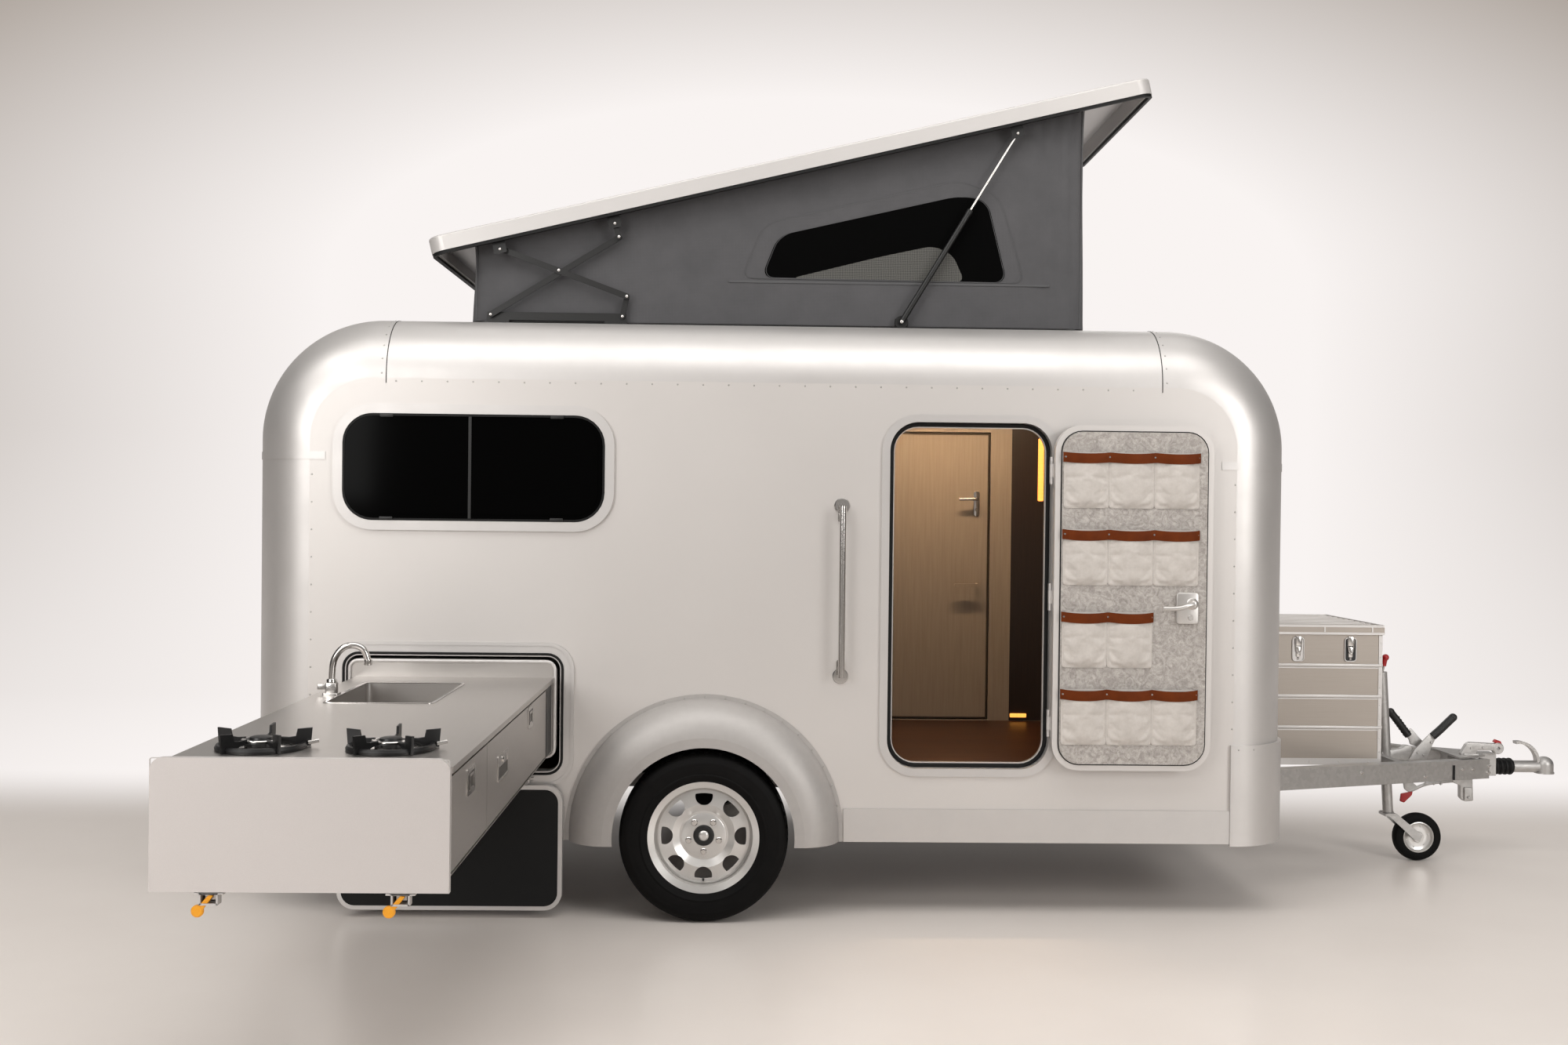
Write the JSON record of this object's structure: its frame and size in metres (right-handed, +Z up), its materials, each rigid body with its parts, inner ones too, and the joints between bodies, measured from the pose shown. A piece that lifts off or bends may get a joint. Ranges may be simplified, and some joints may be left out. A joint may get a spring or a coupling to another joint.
{
  "type": "pop-top travel trailer",
  "caption": "Small single-axle travel trailer with a raised pop-top roof, a kitchen that slides out of the side, an entrance door and a tool box on its A-frame.",
  "frame": {"origin": "middle of the footprint, on the ground, with the kitchen drawn out", "axes": "+X forward to the hitch, +Y to the side without a door, +Z up"},
  "size_m": [5.2393, 3.977, 3.1044],
  "materials": {
    "shell": "satin silver",
    "trim": "satin",
    "black_trim": "matte",
    "galvanised": "satin",
    "dark_metal": "satin",
    "tyre": "matte",
    "rim": "satin",
    "pane": "gloss",
    "floor_wood": "satin",
    "liner": "matte",
    "interior": "satin",
    "felt": "felt",
    "linen": "woven",
    "canvas": "woven",
    "foam": "woven",
    "handle": "satin",
    "steel": "brushed",
    "front_paint": "satin",
    "enamel": "satin",
    "lid": "satin silver",
    "lamp": "gloss",
    "box": "satin"
  },
  "bodies": {
    "trailer": {"axle_beam": "galvanised", "bed_base": "interior", "chassis_frame": "galvanised", "corner_mouldings": "trim", "coupling": "galvanised", "coupling_bellows": "black_trim", "door_frame": "trim", "edge_trim": "trim", "end_walls": "shell", "fenders": "trim", "floor": "floor_wood", "grab_handle": "handle", "hatch_frame": "trim", "jockey_tube": "galvanised", "kitchen_rails": "steel", "lower_skirts": "trim", "mattress": "foam", "roof_panel": "shell", "roof_well": "dark_metal", "side_wall_far": "shell", "side_wall_near": "shell", "storage_box": "box", "tail_lamps": "lamp", "tent": "canvas", "washroom_partition": "interior", "wheel_arch_liners": "liner", "window_frames": "trim", "window_panes": "pane"},
    "wheel_near": {"tyre_near": "tyre", "rim_near": "rim"},
    "wheel_far": {"tyre_far": "tyre", "rim_far": "rim"},
    "door": {"door_panel": "shell", "door_lining": "felt", "door_pockets": "linen", "door_handle": "handle"},
    "inner_door": {"inner_door": "interior"},
    "kitchen": {"kitchen_cabinet": "steel", "kitchen_worktop": "steel", "kitchen_front": "front_paint", "kitchen_tap": "steel", "hob_burners": "enamel"},
    "kitchen_middle": {"slide_middle": "steel"},
    "small_drawer": {"drawer_small": "steel"},
    "large_drawer": {"drawer_large": "steel"},
    "hatch_link": {"hatch_links": "handle"},
    "hatch": {"hatch_panel": "trim"},
    "storage_lid": {"storage_box_lid": "box"},
    "jockey_leg": {"jockey_leg": "galvanised"},
    "jockey_fork": {"jockey_fork": "galvanised"},
    "jockey_wheel": {"jockey_wheel": "tyre"},
    "roof_lid": {"roof_lid": "lid", "lid_seal": "black_trim"},
    "scissor_a": {"scissor_arm_a": "dark_metal"},
    "scissor_b": {"scissor_arm_b": "dark_metal"},
    "scissor_low": {"scissor_link_low": "dark_metal"},
    "scissor_high": {"scissor_link_high": "dark_metal"},
    "struts": {"strut_cylinders": "enamel"},
    "strut_rods": {"strut_rods": "steel"}
  },
  "joints": [
    {"name": "wheel_near_spin", "type": "hinge", "parent": "trailer", "child": "wheel_near", "pos_m": [-0.9715, -0.131, 0.298], "axis": [0, 1, 0], "continuous": true},
    {"name": "wheel_far_spin", "type": "hinge", "parent": "trailer", "child": "wheel_far", "pos_m": [-0.9715, 1.884, 0.298], "axis": [0, 1, 0], "continuous": true},
    {"name": "door_hinge", "type": "hinge", "parent": "trailer", "child": "door", "pos_m": [0.2465, -0.1425, 1.148], "axis": [0, 0, 1], "range_deg": [-180, 0]},
    {"name": "inner_door_hinge", "type": "hinge", "parent": "trailer", "child": "inner_door", "pos_m": [-0.214, 0.9715, 1.17], "axis": [0, 0, -1], "range_deg": [0, 88]},
    {"name": "kitchen_slide", "type": "slide", "parent": "trailer", "child": "kitchen", "axis": [0, -1, 0], "range_m": [-1.905, 0], "deforming": ["kitchen_tap"]},
    {"name": "kitchen_middle_slide", "type": "slide", "parent": "trailer", "child": "kitchen_middle", "axis": [0, -1, 0], "range_m": [-0.9525, 0]},
    {"name": "drawer_small_slide", "type": "slide", "parent": "kitchen", "child": "small_drawer", "axis": [1, 0, 0], "range_m": [0, 0.42]},
    {"name": "drawer_large_slide", "type": "slide", "parent": "kitchen", "child": "large_drawer", "axis": [1, 0, 0], "range_m": [0, 0.42]},
    {"name": "hatch_frame_hinge", "type": "hinge", "parent": "trailer", "child": "hatch_link", "pos_m": [-1.8615, -0.1455, 0.489], "axis": [1, 0, 0], "range_deg": [-90, 0]},
    {"name": "hatch_panel_hinge", "type": "hinge", "parent": "hatch_link", "child": "hatch", "pos_m": [-1.8615, -0.1455, 0.475], "axis": [1, 0, 0], "range_deg": [-90, 0]},
    {"name": "storage_lid_hinge", "type": "hinge", "parent": "trailer", "child": "storage_lid", "pos_m": [1.5025, 1.1885, 0.965], "axis": [-1, 0, 0], "range_deg": [0, 95]},
    {"name": "jockey_height", "type": "slide", "parent": "trailer", "child": "jockey_leg", "axis": [-0.0651, 0, 0.9979], "range_m": [0, 0.14]},
    {"name": "jockey_swivel", "type": "hinge", "parent": "jockey_leg", "child": "jockey_fork", "pos_m": [1.8755, 0.8165, 0.203], "axis": [-0.0651, 0, 0.9979], "continuous": true},
    {"name": "jockey_spin", "type": "hinge", "parent": "jockey_fork", "child": "jockey_wheel", "pos_m": [1.9975, 0.8165, 0.1], "axis": [0, 1, 0], "continuous": true},
    {"name": "roof_lid_hinge", "type": "hinge", "parent": "trailer", "child": "roof_lid", "pos_m": [-3.1065, 0.8765, 2.125], "axis": [0, -1, 0], "range_deg": [-13.46, 0], "deforming": ["tent"]},
    {"name": "scissor_arm_a_hinge", "type": "hinge", "parent": "trailer", "child": "scissor_a", "pos_m": [-1.8125, 0.8765, 2.173], "axis": [0, -1, 0], "range_deg": [-38.36, 0]},
    {"name": "scissor_arm_b_hinge", "type": "hinge", "parent": "roof_lid", "child": "scissor_b", "pos_m": [-1.77657, 0.8765, 2.42099], "axis": [0, -1, 0], "range_deg": [0, 41.14]},
    {"name": "scissor_link_low_hinge", "type": "hinge", "parent": "trailer", "child": "scissor_low", "pos_m": [-1.3145, 0.8765, 2.173], "axis": [0, -1, 0], "range_deg": [-77.48, 0]},
    {"name": "scissor_link_high_hinge", "type": "hinge", "parent": "roof_lid", "child": "scissor_high", "pos_m": [-1.344, 0.8765, 2.52113], "axis": [0, -1, 0], "range_deg": [0, 93.62]},
    {"name": "strut_hinge", "type": "hinge", "parent": "trailer", "child": "struts", "pos_m": [-0.2515, 0.8765, 2.166], "axis": [0, -1, 0], "range_deg": [-66.28, 0]},
    {"name": "strut_slide", "type": "slide", "parent": "struts", "child": "strut_rods", "axis": [0.5146, 0, 0.8574], "range_m": [-0.31669, 0]}
  ],
  "couplings": [
    {"joint": "kitchen_middle_slide", "follows": "kitchen_slide", "ratio": 0.5},
    {"joint": "scissor_arm_a_hinge", "follows": "roof_lid_hinge", "ratio": 2.8498},
    {"joint": "scissor_arm_b_hinge", "follows": "roof_lid_hinge", "ratio": -3.0567},
    {"joint": "scissor_link_low_hinge", "follows": "roof_lid_hinge", "ratio": 5.7562},
    {"joint": "scissor_link_high_hinge", "follows": "roof_lid_hinge", "ratio": -6.9556},
    {"joint": "strut_hinge", "follows": "roof_lid_hinge", "ratio": 4.924},
    {"joint": "strut_slide", "follows": "roof_lid_hinge", "m_per_rad": 1.3476}
  ]
}
